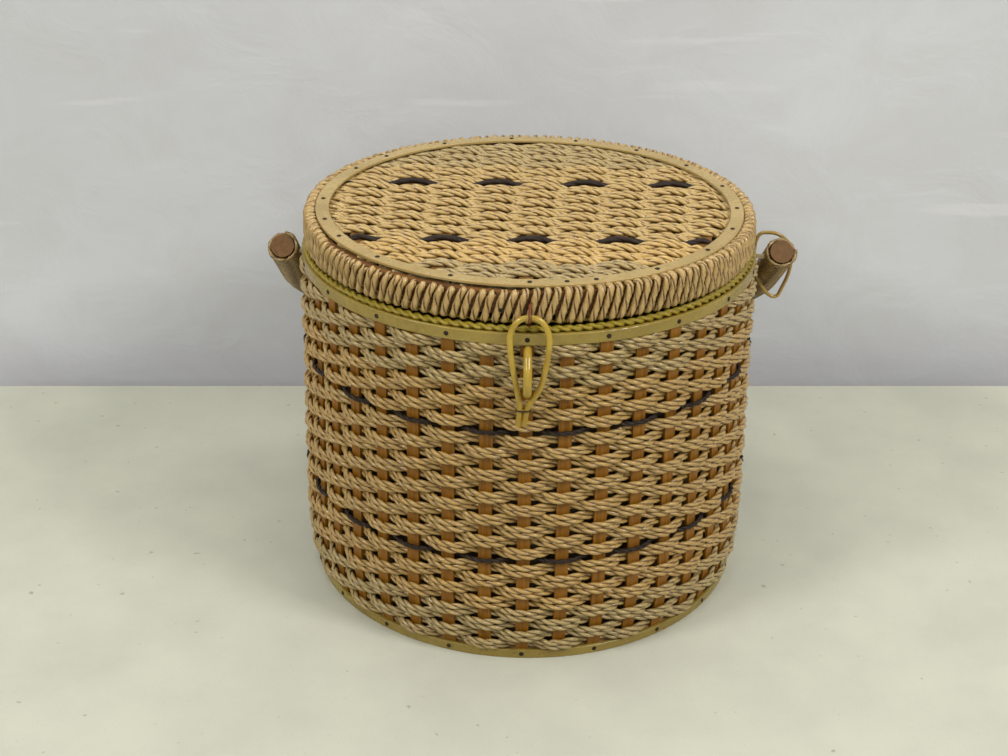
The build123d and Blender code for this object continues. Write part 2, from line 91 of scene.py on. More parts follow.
# ------------------------------------------------------------------ mesh builder for cords
class Strands:
    def __init__(self):
        self.v, self.f, self.run, self.tint = [], [], [], []
        self.n = 0

    def tube(self, P, ref, rn, rb, sides=6, closed=False, run0=0.0, tint=0.5, tone=0.0, caps=True):
        """A tube along P (n,3). ref gives the section's first axis. rn, rb are its half sizes."""
        n = len(P)
        if closed:
            T = np.roll(P, -1, 0) - np.roll(P, 1, 0)
        else:
            T = np.gradient(P, axis=0)
        T /= np.linalg.norm(T, axis=1)[:, None] + 1e-12
        N = ref - (ref * T).sum(1)[:, None] * T
        N /= np.linalg.norm(N, axis=1)[:, None] + 1e-12
        B = np.cross(T, N)
        step = np.linalg.norm(np.diff(P, axis=0), axis=1)
        s = np.concatenate([[0], np.cumsum(step)]) + run0
        rn = np.broadcast_to(np.asarray(rn, float), (n,))
        rb = np.broadcast_to(np.asarray(rb, float), (n,))
        a = np.arange(sides) / sides * TAU
        ca, sa = np.cos(a), np.sin(a)
        V = (P[:, None, :] + (rn[:, None] * ca)[:, :, None] * N[:, None, :]
             + (rb[:, None] * sa)[:, :, None] * B[:, None, :])
        rr = np.stack([np.repeat(s, sides), np.tile(ca, n), np.tile(sa, n)], 1)
        i = np.arange(n if closed else n - 1)
        j = np.arange(sides)
        I, J = np.meshgrid(i, j, indexing="ij")
        i2 = (I + 1) % n
        j2 = (J + 1) % sides
        F = np.stack([I * sides + J, I * sides + j2, i2 * sides + j2, i2 * sides + J], -1).reshape(-1, 4)
        F = F[:, ::-1]
        self.v.append(V.reshape(-1, 3))
        self.f.append(F + self.n)
        self.run.append(rr)
        tt = np.zeros((n * sides, 2))
        tt[:, 0] = tint
        tt[:, 1] = np.repeat(np.broadcast_to(np.asarray(tone, float), (n,)), sides)
        self.tint.append(tt)
        base = self.n
        self.n += n * sides
        if caps and not closed:
            for end, q in ((0, 0), (1, n - 1)):
                self.v.append(P[q][None] + (T[q] * (-0.25 if end == 0 else 0.25) * rn[q])[None])
                self.run.append(np.array([[s[q], 0, 0]]))
                self.tint.append(np.array([[tint, tt[q * sides, 1]]]))
                c = self.n
                self.n += 1
                ringi = base + q * sides + j
                nxt = base + q * sides + j2[0]
                if end == 0:
                    tri = np.stack([np.full(sides, c), ringi, nxt, nxt], -1)
                else:
                    tri = np.stack([np.full(sides, c), nxt, ringi, ringi], -1)
                self.f.append(tri)
        return s[-1]

    def cord(self, C, ref, lay=11.5, twist=-1, off_n=0.80, off_b=0.80, ply_n=0.95, ply_b=0.95, plies=2, phase=0.0,
             sides=6, closed=False, tint=0.5, tone=0.0, run0=0.0):
        """A cord of twisted plies along the centre line C. All in mm."""
        n = len(C)
        T = (np.roll(C, -1, 0) - np.roll(C, 1, 0)) if closed else np.gradient(C, axis=0)
        T /= np.linalg.norm(T, axis=1)[:, None] + 1e-12
        N = ref - (ref * T).sum(1)[:, None] * T
        N /= np.linalg.norm(N, axis=1)[:, None] + 1e-12
        B = np.cross(T, N)
        step = np.linalg.norm(np.diff(C, axis=0), axis=1)
        s = np.concatenate([[0], np.cumsum(step)])
        total = s[-1] + (np.linalg.norm(C[0] - C[-1]) if closed else 0)
        turns = total / lay
        if closed:
            turns = max(1, round(turns))
        phi = phase + twist * TAU * s / total * turns
        for j in range(plies):
            ph = phi + TAU * j / plies
            P = C + off_n * np.cos(ph)[:, None] * N + off_b * np.sin(ph)[:, None] * B
            R = np.cos(ph)[:, None] * N + np.sin(ph)[:, None] * B
            self.tube(P, R, ply_n, ply_b, sides=sides, closed=closed, run0=run0 + 37.0 * j,
                      tint=(tint + 0.13 * j) % 1.0, tone=tone)
        return total

    def build(self, name, mat, smooth=True):
        V = np.concatenate(self.v) * MM
        F = np.concatenate(self.f)
        R = np.concatenate(self.run)
        Tn = np.concatenate(self.tint)
        # faces with a doubled last corner are triangles
        tri = F[:, 2] == F[:, 3]
        quads, tris = F[~tri], F[tri][:, :3]
        loops = np.concatenate([quads.ravel(), tris.ravel()]).astype(np.int32)
        starts = np.concatenate([np.arange(len(quads)) * 4, len(quads) * 4 + np.arange(len(tris)) * 3]).astype(np.int32)
        totals = np.concatenate([np.full(len(quads), 4), np.full(len(tris), 3)]).astype(np.int32)
        me = bpy.data.meshes.new(name)
        me.vertices.add(len(V))
        me.vertices.foreach_set("co", V.ravel().astype(np.float32))
        me.loops.add(len(loops))
        me.loops.foreach_set("vertex_index", loops)
        me.polygons.add(len(starts))
        me.polygons.foreach_set("loop_start", starts)
        me.polygons.foreach_set("loop_total", totals)
        me.update(calc_edges=True)
        me.polygons.foreach_set("use_smooth", np.full(len(starts), smooth))
        at = me.attributes.new("ply", "FLOAT_VECTOR", "POINT")
        at.data.foreach_set("vector", R.astype(np.float32).ravel())
        at = me.attributes.new("tint", "FLOAT", "POINT")
        at.data.foreach_set("value", Tn[:, 0].astype(np.float32))
        at = me.attributes.new("tone", "FLOAT", "POINT")
        at.data.foreach_set("value", Tn[:, 1].astype(np.float32))
        me.validate()
        me.materials.append(mat)
        ob = bpy.data.objects.new(name, me)
        bpy.context.scene.collection.objects.link(ob)
        return ob


# ------------------------------------------------------------------ materials
class Mat:
    """Small helper round a node tree with one Principled shader."""

    def __init__(self, name):
        self.m = bpy.data.materials.new(name)
        self.m.use_nodes = True
        self.t = self.m.node_tree
        self.t.nodes.clear()
        self.out = self.t.nodes.new("ShaderNodeOutputMaterial")
        self.b = self.t.nodes.new("ShaderNodeBsdfPrincipled")
        self.t.links.new(self.b.outputs[0], self.out.inputs["Surface"])

    def n(self, kind, **kw):
        nd = self.t.nodes.new(kind)
        for k, v in kw.items():
            setattr(nd, k, v)
        return nd

    def link(self, a, b):
        self.t.links.new(a, b)

    def set(self, **kw):
        for k, v in kw.items():
            self.b.inputs[k.replace("_", " ")].default_value = v

    def coord(self):
        if not hasattr(self, "_tc"):
            self._tc = self.n("ShaderNodeTexCoord")
        return self._tc.outputs["Object"]

    def attr(self, name, vec=False):
        a = self.n("ShaderNodeAttribute")
        a.attribute_name = name
        return a.outputs["Vector" if vec else "Fac"]

    def scaled(self, vec, sc):
        mp = self.n("ShaderNodeMapping")
        mp.inputs["Scale"].default_value = sc
        self.link(vec, mp.inputs["Vector"])
        return mp.outputs[0]

    def noise(self, vec, scale=1.0, detail=3.0, rough=0.55, dist=0.0):
        nz = self.n("ShaderNodeTexNoise")
        nz.inputs["Scale"].default_value = scale
        nz.inputs["Detail"].default_value = detail
        nz.inputs["Roughness"].default_value = rough
        nz.inputs["Distortion"].default_value = dist
        self.link(vec, nz.inputs["Vector"])
        return nz.outputs["Fac"]

    def ramp(self, fac, stops, interp="LINEAR"):
        r = self.n("ShaderNodeValToRGB")
        r.color_ramp.interpolation = interp
        els = r.color_ramp.elements
        while len(els) > 1:
            els.remove(els[-1])
        els[0].position = stops[0][0]
        els[0].color = (*stops[0][1], 1) if len(stops[0][1]) == 3 else stops[0][1]
        for p, c in stops[1:]:
            e = els.new(p)
            e.color = (*c, 1) if len(c) == 3 else c
        self.link(fac, r.inputs[0])
        return r.outputs[0]

    def fac(self, src, lo, hi, a=0.0, b=1.0):
        m = self.n("ShaderNodeMapRange")
        m.inputs["From Min"].default_value = lo
        m.inputs["From Max"].default_value = hi
        m.inputs["To Min"].default_value = a
        m.inputs["To Max"].default_value = b
        self.link(src, m.inputs["Value"])
        return m.outputs[0]

    def mix(self, f, a, b, mode="MIX"):
        m = self.n("ShaderNodeMix", data_type="RGBA", blend_type=mode)
        if isinstance(f, (int, float)):
            m.inputs[0].default_value = f
        else:
            self.link(f, m.inputs[0])
        for sock, x in ((m.inputs[6], a), (m.inputs[7], b)):
            if isinstance(x, tuple):
                sock.default_value = (*x, 1) if len(x) == 3 else x
            else:
                self.link(x, sock)
        return m.outputs[2]

    def math(self, op, a, b=None):
        m = self.n("ShaderNodeMath", operation=op)
        for i, x in enumerate((a, b)):
            if x is None:
                continue
            if isinstance(x, (int, float)):
                m.inputs[i].default_value = x
            else:
                self.link(x, m.inputs[i])
        return m.outputs[0]

    def bump(self, height, strength=0.5, dist=0.0005, prev=None):
        b = self.n("ShaderNodeBump")
        b.inputs["Strength"].default_value = strength
        b.inputs["Distance"].default_value = dist
        self.link(height, b.inputs["Height"])
        if prev is not None:
            self.link(prev, b.inputs["Normal"])
        return b.outputs[0]

    def color(self, c):
        if isinstance(c, tuple):
            self.b.inputs["Base Color"].default_value = (*c, 1)
        else:
            self.link(c, self.b.inputs["Base Color"])

    def rough(self, r):
        if isinstance(r, (int, float)):
            self.b.inputs["Roughness"].default_value = r
        else:
            self.link(r, self.b.inputs["Roughness"])

    def normal(self, n):
        self.link(n, self.b.inputs["Normal"])


def srgb(r, g, b):
    def f(x):
        x /= 255.0
        return x / 12.92 if x <= 0.04045 else ((x + 0.055) / 1.055) ** 2.4
    return (f(r), f(g), f(b))


TAN = srgb(204, 172, 100)
TAN_D = srgb(158, 123, 56)
YEL = srgb(228, 196, 120)
GRN = srgb(196, 176, 118)
GRN_D = srgb(144, 124, 72)


def paper_material(name, base, dark, glint=0.3, green=None, green_d=None):
    """Twisted paper cord. The tone attribute mixes in the grey-green variety; the plies' inner faces get painted
    crevice shade.
    """
    m = Mat(name)
    ply = m.attr("ply", vec=True)
    tint = m.attr("tint")
    tone = m.attr("tone")
    fibre = m.noise(m.scaled(ply, (0.22, 2.6, 2.6)), 1.0, 4.0, 0.6)
    fine = m.noise(m.scaled(ply, (0.9, 7.0, 7.0)), 1.0, 3.0, 0.6)
    blot = m.noise(m.scaled(m.coord(), (55, 55, 55)), 1.0, 3.0, 0.5)
    c1 = m.mix(m.fac(fibre, 0.30, 0.72), dark, base)
    if green is not None:
        g1 = m.mix(m.fac(fibre, 0.30, 0.72), green_d, green)
        c1 = m.mix(tone, c1, g1)
    warm = m.mix(m.fac(tint, 0.0, 1.0, 0.0, 0.34), c1, m.mix(0.5, c1, srgb(190, 150, 84), "MIX"))
    c2 = m.mix(m.fac(fine, 0.36, 0.60, 0.62, 0.0), warm, m.mix(1.0, warm, (0.46, 0.40, 0.30), "MULTIPLY"))
    c3 = m.mix(m.fac(blot, 0.35, 0.72, 0.0, 0.30), c2, m.mix(1.0, c2, (0.72, 0.64, 0.50), "MULTIPLY"))
    # Painted shade: faces of each ply that turn towards the cord's middle are darkened, standing in for the shadow in
    # the crevices between plies.
    side = m.n("ShaderNodeSeparateXYZ")
    m.link(ply, side.inputs[0])
    painted_crevice_shade = m.fac(side.outputs["Y"], -0.65, 0.30, 1.0, 0.0)
    c3 = m.mix(painted_crevice_shade, c3, m.mix(1.0, c3, (0.30, 0.21, 0.11), "MULTIPLY"))
    m.color(c3)
    spark = m.noise(m.scaled(ply, (0.55, 3.0, 3.0)), 1.3, 2.0, 0.5)
    m.rough(m.fac(spark, 0.42, 0.60, 0.60, 0.56 - glint))
    m.set(Specular_IOR_Level=0.6, Coat_Weight=0.45, Coat_Roughness=0.13, IOR=1.5)
    nb = m.bump(fibre, 0.55, 0.0004)
    nb = m.bump(fine, 0.35, 0.00015, nb)
    m.normal(nb)
    return m.m


def dark_cord_material():
    m = Mat("dark_cord")
    ply = m.attr("ply", vec=True)
    fibre = m.noise(m.scaled(ply, (0.25, 2.2, 2.2)), 1.0, 4.0, 0.6)
    m.color(m.mix(m.fac(fibre, 0.35, 0.7), srgb(20, 12, 6), srgb(50, 34, 20)))
    m.rough(m.fac(fibre, 0.35, 0.7, 0.66, 0.42))
    m.set(Specular_IOR_Level=0.3)
    m.normal(m.bump(fibre, 0.5, 0.0004))
    return m.m


def wood_material(name, a, b, c, scale=(900, 900, 26)):
    m = Mat(name)
    v = m.coord()
    grain = m.noise(m.scaled(v, scale), 1.0, 5.0, 0.62, 0.3)
    wide = m.noise(m.scaled(v, (60, 60, 9)), 1.0, 3.0, 0.5)
    col = m.mix(m.fac(grain, 0.30, 0.70), b, a)
    col = m.mix(m.fac(wide, 0.35, 0.7, 0.0, 0.7), col, c)
    m.color(col)
    m.rough(m.fac(grain, 0.3, 0.7, 0.55, 0.42))
    m.set(Specular_IOR_Level=0.35)
    m.normal(m.bump(grain, 0.35, 0.0003))
    return m.m


def pvc_material(name, a, b, rough=0.3, sub=0.0, scr=True):
    m = Mat(name)
    v = m.coord()
    blot = m.noise(m.scaled(v, (30, 30, 60)), 1.0, 4.0, 0.55)
    dirt = m.noise(m.scaled(v, (160, 160, 160)), 1.0, 4.0, 0.65)
    col = m.mix(m.fac(blot, 0.35, 0.68), a, b)
    col = m.mix(m.fac(dirt, 0.56, 0.78, 0.0, 0.55), col, m.mix(1.0, col, (0.60, 0.52, 0.38), "MULTIPLY"))
    m.color(col)
    m.rough(m.fac(dirt, 0.3, 0.75, rough - 0.05, rough + 0.16))
    m.set(Specular_IOR_Level=0.5, Subsurface_Weight=sub, Subsurface_Scale=0.002)
    fine = m.noise(m.scaled(v, (420, 420, 420)), 1.0, 3.0, 0.5)
    nb = m.bump(blot, 0.25, 0.0012)
    m.normal(m.bump(fine, 0.12, 0.0002, nb))
    return m.m


def metal_material(name, a, b, rough=0.4):
    m = Mat(name)
    v = m.coord()
    nz = m.noise(m.scaled(v, (700, 700, 700)), 1.0, 3.0, 0.6)
    m.color(m.mix(m.fac(nz, 0.3, 0.7), a, b))
    m.rough(m.fac(nz, 0.3, 0.7, rough - 0.08, rough + 0.18))
    m.set(Metallic=0.85)
    m.normal(m.bump(nz, 0.2, 0.0001))
    return m.m


def yarn_material():
    m = Mat("braid_yarn")
    ply = m.attr("ply", vec=True)
    fibre = m.noise(m.scaled(ply, (0.35, 3.4, 3.4)), 1.0, 4.0, 0.6)
    fine = m.noise(m.scaled(ply, (1.6, 5.0, 5.0)), 1.0, 2.0, 0.6)
    col = m.mix(m.fac(fibre, 0.30, 0.70), srgb(76, 58, 1), srgb(166, 142, 6))
    # Painted highlight: light yellow patches on the fine noise stand in for glints on the shiny yarn, where the
    # roughness also drops.
    col = m.mix(m.fac(fine, 0.42, 0.75, 0.0, 0.40), col, srgb(212, 192, 36))
    m.color(col)
    m.rough(m.fac(fine, 0.3, 0.7, 0.46, 0.20))
    m.set(Specular_IOR_Level=0.6, Sheen_Weight=0.04, Sheen_Roughness=0.4)
    m.normal(m.bump(fibre, 0.8, 0.0005))
    return m.m


def satin_material(name="satin", a=srgb(214, 192, 92), b=srgb(184, 158, 62)):
    m = Mat(name)
    v = m.coord()
    weave = m.n("ShaderNodeTexWave", wave_type="BANDS", bands_direction="DIAGONAL")
    weave.inputs["Scale"].default_value = 900.0
    weave.inputs["Distortion"].default_value = 0.6
    m.link(v, weave.inputs["Vector"])
    soft = m.noise(m.scaled(v, (40, 40, 40)), 1.0, 3.0, 0.5)
    m.color(m.mix(m.fac(soft, 0.3, 0.7), b, a))
    m.rough(m.fac(soft, 0.3, 0.7, 0.34, 0.46))
    m.set(Specular_IOR_Level=0.6, Sheen_Weight=0.35, Sheen_Roughness=0.35, Anisotropic=0.4)
    nb = m.bump(weave.outputs["Fac"], 0.12, 0.00015)
    m.normal(m.bump(soft, 0.35, 0.0012, nb))
    return m.m


MAT_BODY = paper_material("paper_cord_body", TAN, TAN_D, 0.36, GRN, GRN_D)
MAT_LID = paper_material("paper_cord_lid", YEL, srgb(184, 148, 76), 0.32, srgb(198, 178, 122), srgb(142, 124, 74))
MAT_RIM = paper_material("paper_cord_rim", srgb(212, 182, 118), srgb(166, 134, 74), 0.24, GRN, GRN_D)
MAT_GRIP = paper_material("paper_cord_grip", srgb(182, 150, 86), srgb(118, 90, 40), 0.34, GRN, GRN_D)
MAT_DARK = dark_cord_material()
MAT_STAKE = wood_material("stake_wood", srgb(148, 98, 14), srgb(98, 60, 5), srgb(122, 78, 9))
MAT_WARP = wood_material("lid_stake_wood", srgb(128, 94, 46), srgb(92, 62, 26), srgb(108, 76, 34))
MAT_HOOP = wood_material("hoop_wood", srgb(128, 88, 44), srgb(72, 44, 22), srgb(98, 62, 30), (60, 60, 700))
MAT_BOARD = wood_material("board_wood", srgb(172, 136, 92), srgb(140, 104, 64), srgb(156, 120, 80), (26, 700, 700))
MAT_PIN = wood_material("pin_wood", srgb(206, 190, 150), srgb(178, 160, 118), srgb(190, 172, 130), (26, 700, 700))
# Painted shade: dark brown card that makes the gaps in the weave read as deep shadow.
MAT_CARD_PAINTED_SHADE = wood_material("card", srgb(64, 45, 22), srgb(44, 30, 14), srgb(54, 38, 18), (400, 400, 400))
MAT_CANE = wood_material("cane", srgb(124, 86, 38), srgb(82, 54, 18), srgb(104, 70, 28), (420, 420, 420))
# Lit and shaded copies of one cream plastic: the body's bands are darker and more olive as painted shade under the
# lid's rim and on the upright sides, the lid's band is the lighter lit copy on top.
MAT_BAND_PAINTED_SHADE = pvc_material("cream_plastic", srgb(146, 126, 56), srgb(126, 106, 42), 0.26, 0.12)
MAT_LBAND_PAINTED_LIT = pvc_material("cream_plastic_lid", srgb(174, 150, 94), srgb(154, 130, 74), 0.26, 0.12)
MAT_TUBE = pvc_material("tube_plastic", srgb(176, 150, 58), srgb(148, 120, 38), 0.14, 0.2)
# Painted shade: the ring is a darker tan-brown copy of the cream plastic, standing in for the shade it sits in.
MAT_RING_PAINTED_SHADE = pvc_material("ring_plastic", srgb(166, 138, 72), srgb(140, 112, 48), 0.22, 0.15)
MAT_NAIL = metal_material("nail_steel", srgb(34, 28, 24), srgb(70, 58, 48), 0.42)
MAT_BRASS = metal_material("hinge_brass", srgb(186, 150, 84), srgb(142, 108, 56), 0.36)
MAT_YARN = yarn_material()
MAT_SATIN = satin_material()
MAT_COPPER = metal_material("copper_thread", srgb(84, 32, 20), srgb(128, 66, 46), 0.35)


def dress(node, mat):
    ob = frame["nodes"][node]
    for o in [ob] + list(ob.children_recursive):
        if o.type == "MESH":
            if not o.material_slots:
                o.data.materials.append(mat)
            for sl in o.material_slots:
                sl.material = mat


# ------------------------------------------------------------------ the woven body
N_STAKES = 39
PITCH = 360.0 / N_STAKES
THETA_0 = -0.8
Z0, Z1 = 5.0, 175.1
ROW_H = [6.59] * 8 + [3.3] + [67.0 / 11] * 11 + [3.1] + [44.0 / 8] * 8
edges = np.concatenate([[Z0], Z0 + np.cumsum(ROW_H)])
CENT = (edges[:-1] + edges[1:]) / 2
KN_RHO = np.concatenate([[-0.5], np.arange(29), [28.5]])
KN_Z = np.concatenate([[Z0 + 2.6], CENT, [Z1 - 2.3]])
WALL_Z = np.array([0.0, 5.0, 14.0, 27.0, 42.0, 57.7, 77.0, 94.0, 111.0, 128.0, 153.0, 175.1, 181.0])
WALL_R = np.array([118.6, 118.6, 120.6, 121.3, 121.3, 121.1, 120.75, 120.3, 119.95, 119.6, 119.4, 119.2, 119.2])


def wall_r(z):
    return np.interp(z, WALL_Z, WALL_R)


def weave_body(rows, single=False, r_in=True):
    """Rows of cord in one continuous spiral: returns the centre line's angle, height, phase."""
    rho0, rho1 = rows[0] - 0.5, rows[-1] + 0.5
    n = int((rho1 - rho0) * 748 / 1.45)
    rho = np.linspace(rho0, rho1, n)
    # turn count: theta runs -180..180 within each row
    th_total = rho * 360.0
    z = np.interp(rho, KN_RHO, KN_Z)
    w = -np.cos(np.pi * (th_total - THETA_0) / PITCH)
    # a little squarer than a sine: the cord lies along the stake, then dives
    w = np.sign(w) * np.abs(w) ** 0.85
    return rho, th_total, z, w


def body_rows(name, rows, tone_fn, single=False):
    st = Strands()
    rho, th, z, w = weave_body(rows)
    s = rho * 748.0
    cords = [0.0] if single else [-1.0, 1.0]
    hpitch = np.interp(rho, np.arange(29), ROW_H)
    for ci, c in enumerate(cords):
        wz, wr, ws = Wander(23.0), Wander(31.0), Wander(40.0)
        if single:
            spread = np.zeros_like(rho)
        else:
            k = np.clip(hpitch / 6.3, 0.80, 1.05)
            spread = (1.46 + 0.10 * w) * k + 0.14 * ws(s)
        zz = z + c * spread + 0.22 * wz(s)
        amp = 2.42
        off = 1.70
        rmid = wall_r(zz) - 3.3 - 0.7
        r = rmid + w * amp + 0.12 * wr(s)
        r = np.minimum(r, wall_r(zz) - off + 0.10)
        a = np.radians(th)
        C = np.stack([r * np.sin(a), -r * np.cos(a), zz], 1)
        ref = np.stack([np.sin(a), -np.cos(a), np.zeros_like(a)], 1)
        # split in pieces so that each has its own shade
        cuts = list(range(0, len(rho), 5200)) + [len(rho)]
        for q0, q1 in zip(cuts[:-1], cuts[1:]):
            if q1 - q0 < 8:
                continue
            q1 = min(len(rho), q1 + 1)
            tone = tone_fn(rho[q0:q1], th[q0:q1])
            if single:
                st.cord(C[q0:q1], ref[q0:q1], lay=9.0, twist=1, off_n=0.55, off_b=0.62, ply_n=0.78, ply_b=0.82,
                        phase=0.7, tint=RNG.random(), tone=tone, run0=s[q0])
            else:
                st.cord(C[q0:q1], ref[q0:q1], lay=13.2 + 0.3 * RNG.normal(), twist=1, off_n=0.70, off_b=0.74, ply_n=0.99, ply_b=1.07,
                        phase=RNG.random() * TAU, tint=RNG.random(), tone=tone, run0=s[q0] + 1000 * ci)
    return st


def tone_low(rho, th):
    # the lowest four rows are the grey-green variety
    return np.clip((3.6 - rho) * 4 + 0.5, 0, 1) * (0.85 + 0.15 * np.sin(th * 0.021))


def tone_high(rho, th):
    return np.clip((rho - 24.4) * 4 + 0.5, 0, 1) * (0.70 + 0.15 * np.sin(th * 0.017))


def tone_none(rho, th):
    return 0.10 + 0.08 * np.sin(th * 0.013)


pieces = {}
pieces["cords_lower"] = body_rows("cords_lower", list(range(0, 8)), tone_low).build("cords_lower", MAT_BODY)
pieces["cords_middle"] = body_rows("cords_middle", list(range(9, 20)), tone_none).build("cords_middle", MAT_BODY)
pieces["cords_upper"] = body_rows("cords_upper", list(range(21, 29)), tone_high).build("cords_upper", MAT_BODY)
pieces["cord_accent_lower"] = body_rows("a", [8], tone_none, True).build("cord_accent_lower", MAT_DARK)
pieces["cord_accent_upper"] = body_rows("b", [20], tone_none, True).build("cord_accent_upper", MAT_DARK)
for pn, node in (("cords_lower", "body_weave_lower"), ("cords_middle", "body_weave_middle"), ("cords_upper", "body_weave_upper"),
                 ("cord_accent_lower", "accent_cord_lower"), ("cord_accent_upper", "accent_cord_upper")):
    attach(pieces[pn], "basket")
    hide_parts(node)

# ------------------------------------------------------------------ the woven lid
LID_R = 107.6
WARP_P = 21.5
WARP_X0 = 1.0
lid_rows = []
mid_n = 12
front_p, mid_p, back_p = 5.45, (34.0 + 49.0 - 3.2) / mid_n, 6.1
for i in range(10):
    lid_rows.append((-49.0 - 1.6 - front_p * (i + 0.5), -1 - i, front_p))
for i in range(mid_n):
    lid_rows.append((-49.0 + 1.6 + mid_p * (i + 0.5), i + 1, mid_p))
for i in range(12):
    if 34.0 + 1.6 + back_p * (i + 0.5) < 105.0:
        lid_rows.append((34.0 + 1.6 + back_p * (i + 0.5), mid_n + 2 + i, back_p))


def lid_tone(yy):
    """0 tan or yellow, 1 grey-green, by distance from the front."""
    if yy < -49:
        return float(np.clip((-77.0 - yy) / 4, 0, 0.9))
    return 0.32 + float(np.clip((yy - 60) / 5, 0, 0.5))


def lid_line(yrow, phase, c, spread_amp, amp, rad=LID_R, wob=0.25):
    half = math.sqrt(max(rad ** 2 - yrow ** 2, 1.0))
    n = max(12, int(2 * half / 1.25))
    x = np.linspace(-half, half, n)
    # the stakes fan out to the right towards the back
    t = (yrow + 49.0) / 83.0
    w = np.cos(np.pi * ((x - 6.0 * t) / (1 + 0.07 * t) - WARP_X0) / WARP_P + np.pi * phase)
    wz, wy = Wander(19.0), Wander(27.0)
    s = x + 3 * half
    yy = yrow + c * (1.46 + spread_amp * w) + wob * wy(s)
    z = 198.6 + amp * w + 0.12 * wz(s)
    # the ends dive under the band
    e = np.clip((np.hypot(x, yy) - 96.5) / 6.0, 0, 1)
    e = e * e * (3 - 2 * e)
    cap = 200.9 * (1 - e) + 198.45 * e
    z = np.minimum(z, cap)
    return np.stack([x, yy, z], 1), s


lid_st = Strands()
for yrow, ph, rp in lid_rows:
    for c in (-1.0, 1.0):
        C, s = lid_line(yrow + 0.25 * RNG.normal() * 0.4, ph, c * rp / 6.2, 0.42, 2.0)
        if len(C) < 14:
            continue
        ref = np.tile(np.array([0.0, 0.0, 1.0]), (len(C), 1))
        lid_st.cord(C, ref, lay=13.0, twist=1, off_n=0.72, off_b=0.84, ply_n=0.98, ply_b=1.08, phase=RNG.random() * TAU,
                    tint=RNG.random(), tone=np.full(len(C), lid_tone(yrow)), run0=RNG.random() * 900)
ob = lid_st.build("lid_cords", MAT_LID)
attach(ob, "lid"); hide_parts("lid_weave")

acc = Strands()
for yrow, ph in ((-49.0, 0), (34.0, mid_n + 1)):
    C, s = lid_line(yrow, ph, 0.0, 0.0, 2.1, wob=0.3)
    ref = np.tile(np.array([0.0, 0.0, 1.0]), (len(C), 1))
    acc.cord(C, ref, lay=26.0, twist=1, off_n=0.40, off_b=0.55, ply_n=1.15, ply_b=1.35, sides=8, tint=0.4, tone=0.0)
ob = acc.build("lid_dark_cords", MAT_DARK)
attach(ob, "lid"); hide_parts("lid_accent_cords")

# ------------------------------------------------------------------ rim wrap
rim = Strands()
N_WRAP = 147
# section of one turn: inner top, over the edge, down the outside, under, inner bottom
sec = np.array([(110.3, 199.6), (111.2, 200.5), (112.6, 200.75), (113.9, 200.2), (114.55, 198.6), (114.8, 195.0),
                (114.8, 190.0), (114.75, 187.3), (114.2, 185.95), (112.6, 185.6), (110.9, 186.0), (110.2, 187.4)])
seg = np.concatenate([[0], np.cumsum(np.linalg.norm(np.diff(sec, axis=0), axis=1))])
nq = 24
sq = np.linspace(0, seg[-1], nq)
secr = np.interp(sq, seg, sec[:, 0])
secz = np.interp(sq, seg, sec[:, 1])
for i in range(N_WRAP):
    th0 = i * 360.0 / N_WRAP
    lean = 4.4 + 0.5 * RNG.normal()
    # the top end stands further to the right than the bottom end
    fz = np.clip((secz - 185.6) / 14.6, 0, 1)
    arc = lean * (fz - 0.5) + 0.25 * RNG.normal()
    if th0 > 180:
        th0 -= 360
    th = np.radians(th0) + arc / 114.0
    rr = secr + 0.10 * RNG.normal()
    # the worn stretch at the front left, where the turns have slipped down off the edge
    worn = 1.0 / (1.0 + math.exp((-64.0 - th0) / 3.0)) / (1.0 + math.exp((th0 + 3.0) / 3.0))
    worn *= 0.75 + 0.25 * RNG.random()
    zz = secz - worn * 2.2 * np.clip((secz - 196.0) / 4.0, 0, 1)
    rr = np.where(secz > 196.0, rr + worn * np.maximum(0.0, 113.5 - rr), rr)
    C = np.stack([rr * np.sin(th), -rr * np.cos(th), zz], 1)
    nrm = np.gradient(np.stack([secr, secz], 1), axis=0)
    nr = np.stack([-nrm[:, 1], nrm[:, 0]], 1)
    nr /= np.linalg.norm(nr, axis=1)[:, None]
    nr *= np.where((nr[:, 0] * (secr - 111.8) + nr[:, 1] * (secz - 194)) < 0, -1, 1)[:, None]
    ref = np.stack([nr[:, 0] * np.sin(th), -nr[:, 0] * np.cos(th), nr[:, 1]], 1)
    rim.cord(C, ref, lay=16.0 + 1.0 * RNG.normal(), twist=-1, off_n=0.48, off_b=0.78, ply_n=0.90, ply_b=1.58,
             phase=RNG.normal() * 0.9 + 0.9, tint=RNG.random(), tone=np.full(len(C), 0.12 * RNG.random()), run0=RNG.random() * 500)
ob = rim.build("rim_cord", MAT_RIM)
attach(ob, "lid"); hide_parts("lid_rim_wrap")


# ------------------------------------------------------------------ braided trims
def trim_cord(r0, z0, lay, off, ply, twist):
    """Two-ply shiny trim that runs right round."""
    st = Strands()
    n = int(TAU * r0 / 0.9)
    a = np.linspace(0, TAU, n, endpoint=False)
    wob = 0.10 * np.sin(23 * a + 1.0) + 0.08 * np.sin(57 * a)
    C = np.stack([(r0 + wob * 0.5) * np.sin(a), -(r0 + wob * 0.5) * np.cos(a), z0 + wob], 1)
    ref = np.stack([np.sin(a), -np.cos(a), np.zeros_like(a)], 1)
    st.cord(C, ref, lay=lay, twist=twist, off_n=off[0], off_b=off[1], ply_n=ply[0], ply_b=ply[1], plies=2, sides=9, closed=True)
    return st


